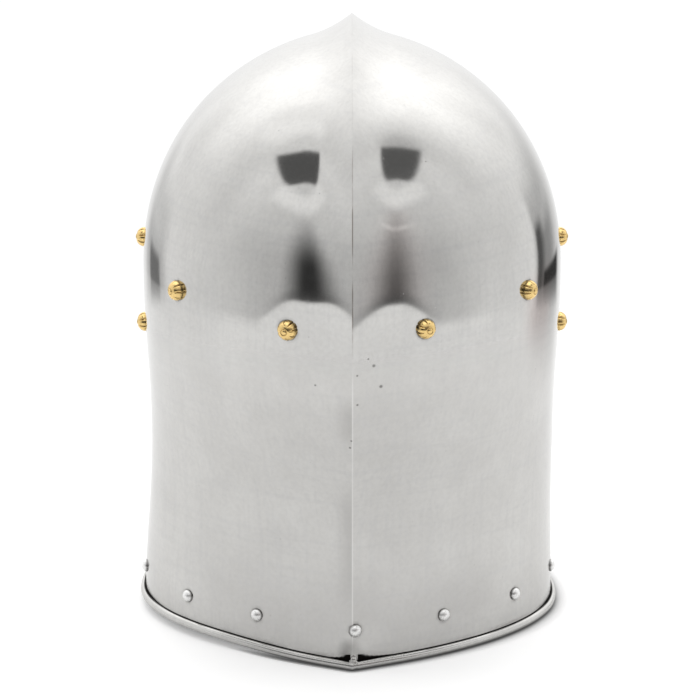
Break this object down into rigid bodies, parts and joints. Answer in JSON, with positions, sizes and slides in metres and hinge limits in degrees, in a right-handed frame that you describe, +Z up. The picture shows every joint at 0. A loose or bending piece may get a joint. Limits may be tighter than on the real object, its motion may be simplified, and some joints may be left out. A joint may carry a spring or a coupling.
{
  "type": "barbute",
  "caption": "Open-faced steel helmet with a keeled skull, rolled edges, a T-shaped face opening with a short nasal, and brass rosette rivets.",
  "frame": {"origin": "on the surface that the rolled edge stands on, under the middle of the helmet's length and width", "axes": "+Z up through the crown, the face looks along -Y, the nape along +Y, the wearer's left ear at +X"},
  "size_m": [0.216, 0.269, 0.2992],
  "materials": {
    "polished_steel": "polished, with faint brush lines",
    "brass": "polished, darker in the hollows",
    "bright_steel": "polished"
  },
  "bodies": {
    "root": {"skull": "polished_steel", "liner_rivet_01": "brass", "liner_rivet_02": "brass", "liner_rivet_03": "brass", "liner_rivet_04": "brass", "liner_rivet_05": "brass", "liner_rivet_06": "brass", "liner_rivet_07": "brass", "liner_rivet_08": "brass", "liner_rivet_09": "brass", "liner_rivet_10": "brass", "strap_rivet_left": "brass", "strap_rivet_right": "brass", "edge_rivet_01": "bright_steel", "edge_rivet_02": "bright_steel", "edge_rivet_03": "bright_steel", "edge_rivet_04": "bright_steel", "edge_rivet_05": "bright_steel", "edge_rivet_06": "bright_steel", "edge_rivet_07": "bright_steel", "edge_rivet_08": "bright_steel", "edge_rivet_09": "bright_steel", "edge_rivet_10": "bright_steel", "edge_rivet_11": "bright_steel"}
  },
  "joints": []
}
